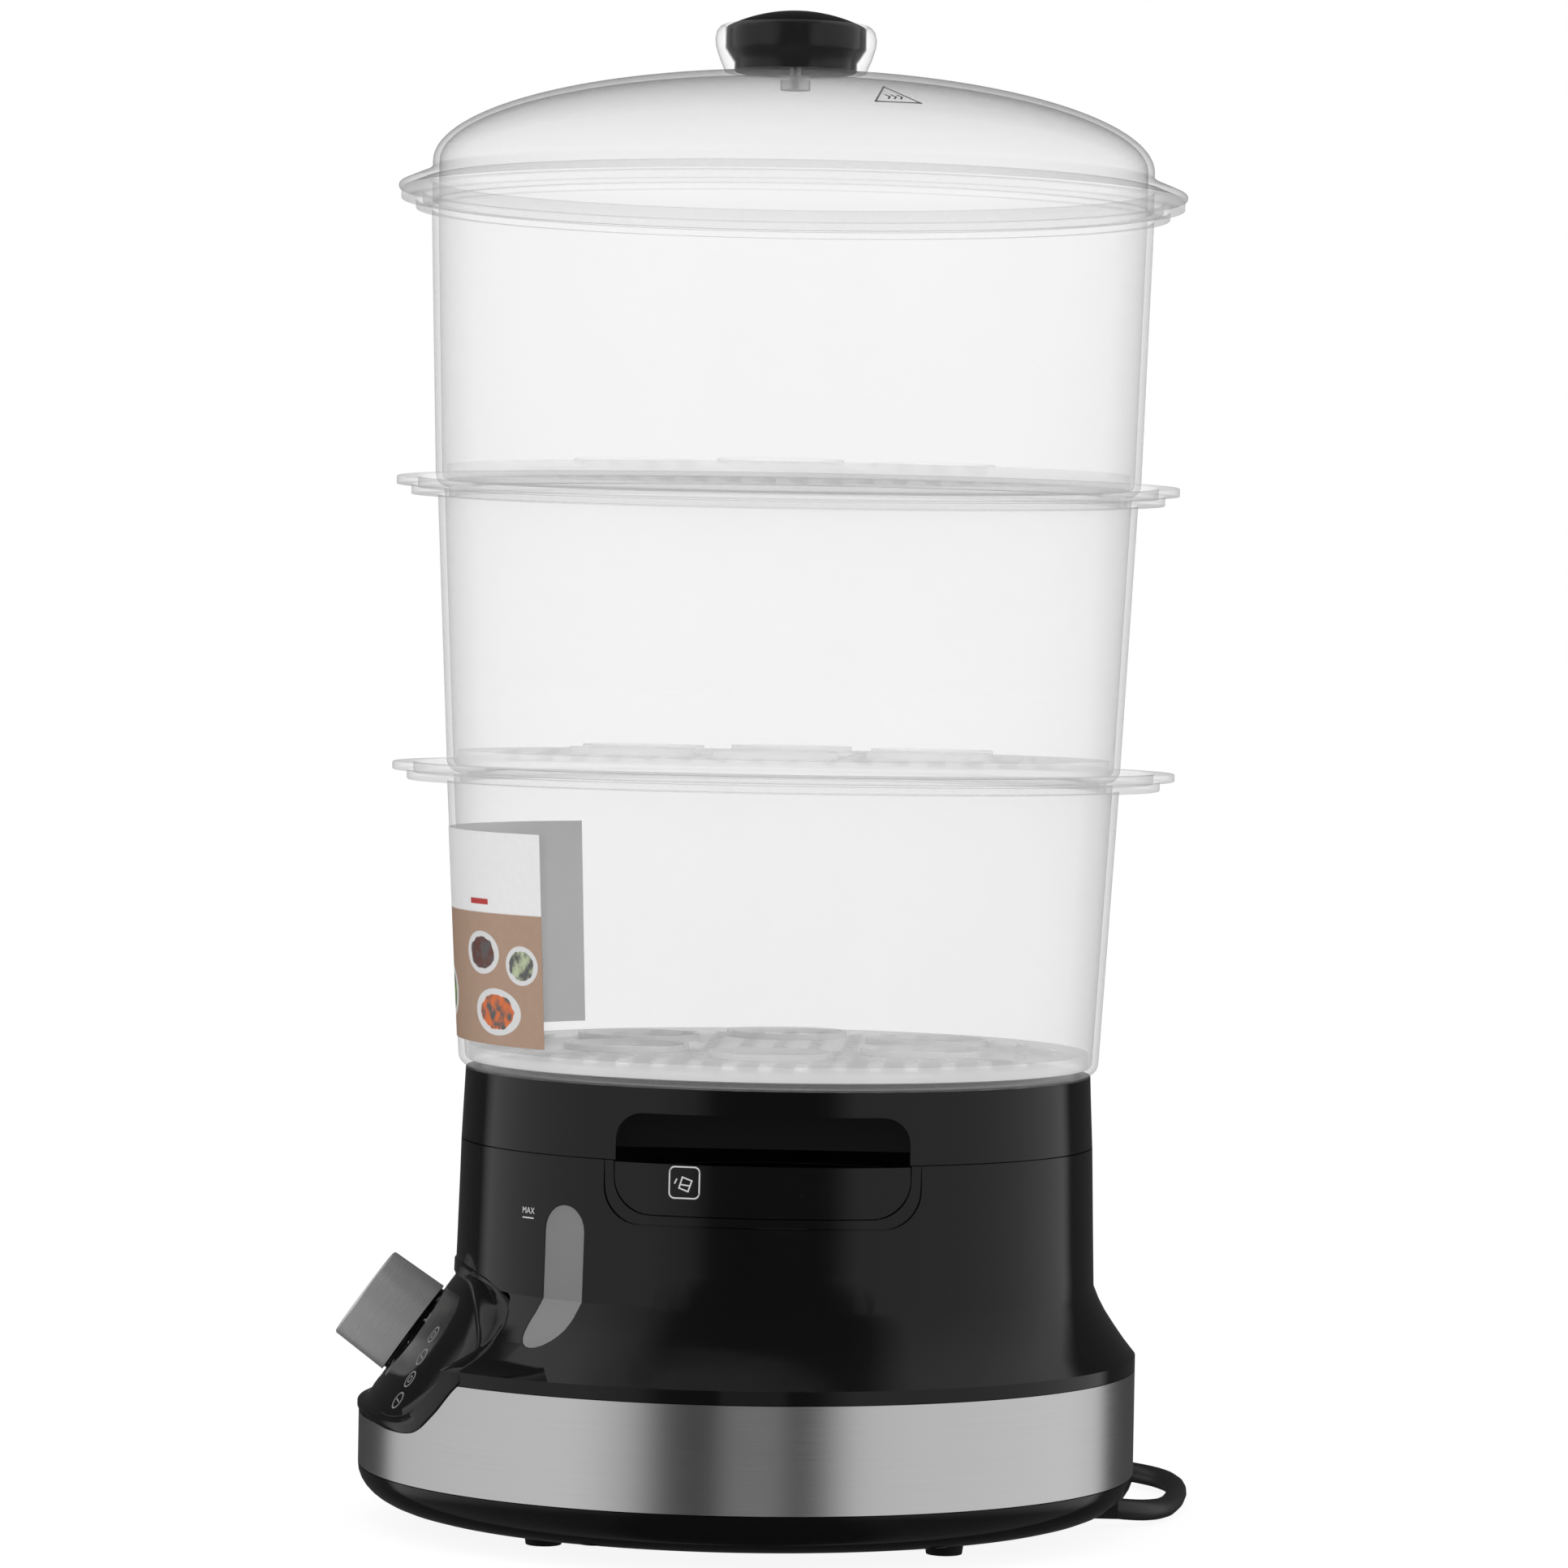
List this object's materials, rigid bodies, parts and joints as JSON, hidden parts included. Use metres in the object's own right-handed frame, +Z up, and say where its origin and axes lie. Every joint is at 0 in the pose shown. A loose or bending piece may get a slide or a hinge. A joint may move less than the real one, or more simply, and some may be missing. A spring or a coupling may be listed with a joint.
{
  "type": "electric food steamer",
  "caption": "Electric food steamer: black base with steel band and dial timer, drip tray, stacked clear bowls with perforated floors, domed clear lid, and a coiled mains cord with plug.",
  "frame": {"origin": "centre of the round base on the surface it stands on", "axes": "+Z up, -Y towards the front with the timer knob, +X to the right-hand filling lip when seen from the front, the cord leaves towards +Y"},
  "size_m": [0.3341, 0.2647, 0.4652],
  "materials": {
    "black_gloss": "polished moulding",
    "black_satin": "fine satin moulding",
    "rubber": "matte",
    "bright_steel": "plain sheet",
    "steel_band": "brushed round the base",
    "knob_metal": "satin",
    "timer_metal": "zinc passivated",
    "tank_plastic": "satin moulding",
    "gasket": "silicone",
    "element": "dark sheath",
    "ceramic": "off-white",
    "brass": "drawn",
    "wire": "insulation",
    "window": "frosted clear plastic",
    "clear": "polished clear plastic",
    "clear_floor": "polished clear plastic",
    "cord": "smooth flexible plastic",
    "pins": "nickel plated"
  },
  "bodies": {
    "base": {"bottom_cover": "black_satin", "rubber_feet": "rubber", "cover_screws": "bright_steel", "base_housing": "black_gloss", "steel_band": "steel_band", "control_panel": "black_gloss", "timer_case": "timer_metal", "timer_plate": "bright_steel", "timer_bell": "bright_steel", "timer_screws": "bright_steel", "water_tank": "tank_plastic", "tank_gasket": "gasket", "heating_plate": "bright_steel", "heating_element": "element", "element_bracket": "timer_metal", "thermostat": "ceramic", "thermal_fuse": "brass", "terminal_block": "ceramic", "wiring": "wire", "level_window": "window", "fill_lip_right": "black_gloss", "fill_lip_left": "black_gloss", "cord_gland": "rubber", "power_cord": "cord", "cord_coil": "cord", "cord_tail": "cord", "cord_tie": "black_satin", "plug_body": "cord", "plug_pins": "pins"},
    "timer": {"timer_shaft": "bright_steel", "timer_knob": "knob_metal"},
    "steam_ring": {"steam_ring": "black_satin"},
    "tray": {"drip_tray": "black_gloss"},
    "lower_bowl": {"lower_bowl": "clear"},
    "lower_floor": {"lower_floor": "clear_floor"},
    "middle_bowl": {"middle_bowl": "clear"},
    "middle_floor": {"middle_floor": "clear_floor"},
    "upper_bowl": {"upper_bowl": "clear"},
    "upper_floor": {"upper_floor": "clear_floor"},
    "lid": {"lid": "clear", "lid_knob_shell": "clear", "lid_knob_core": "black_satin", "lid_knob_screw": "bright_steel"}
  },
  "joints": [
    {"name": "timer_turn", "type": "hinge", "parent": "base", "child": "timer", "pos_m": [0, -0.10309, 0.057], "axis": [0, 0.8141, -0.5807], "range_deg": [0, 300]},
    {"name": "ring_lift", "type": "slide", "parent": "base", "child": "steam_ring", "axis": [0, 0, 1], "range_m": [0, 0.006]},
    {"name": "tray_lift", "type": "slide", "parent": "base", "child": "tray", "axis": [0, 0, 1], "range_m": [0, 0.04]},
    {"name": "lower_bowl_lift", "type": "slide", "parent": "tray", "child": "lower_bowl", "axis": [0, 0, 1], "range_m": [0, 0.06]},
    {"name": "lower_floor_lift", "type": "slide", "parent": "lower_bowl", "child": "lower_floor", "axis": [0, 0, 1], "range_m": [0, 0.06]},
    {"name": "middle_bowl_lift", "type": "slide", "parent": "lower_bowl", "child": "middle_bowl", "axis": [0, 0, 1], "range_m": [0, 0.12]},
    {"name": "middle_floor_lift", "type": "slide", "parent": "middle_bowl", "child": "middle_floor", "axis": [0, 0, 1], "range_m": [0, 0.06]},
    {"name": "upper_bowl_lift", "type": "slide", "parent": "middle_bowl", "child": "upper_bowl", "axis": [0, 0, 1], "range_m": [0, 0.12]},
    {"name": "upper_floor_lift", "type": "slide", "parent": "upper_bowl", "child": "upper_floor", "axis": [0, 0, 1], "range_m": [0, 0.06]},
    {"name": "lid_lift", "type": "slide", "parent": "upper_bowl", "child": "lid", "axis": [0, 0, 1], "range_m": [0, 0.12]}
  ]
}
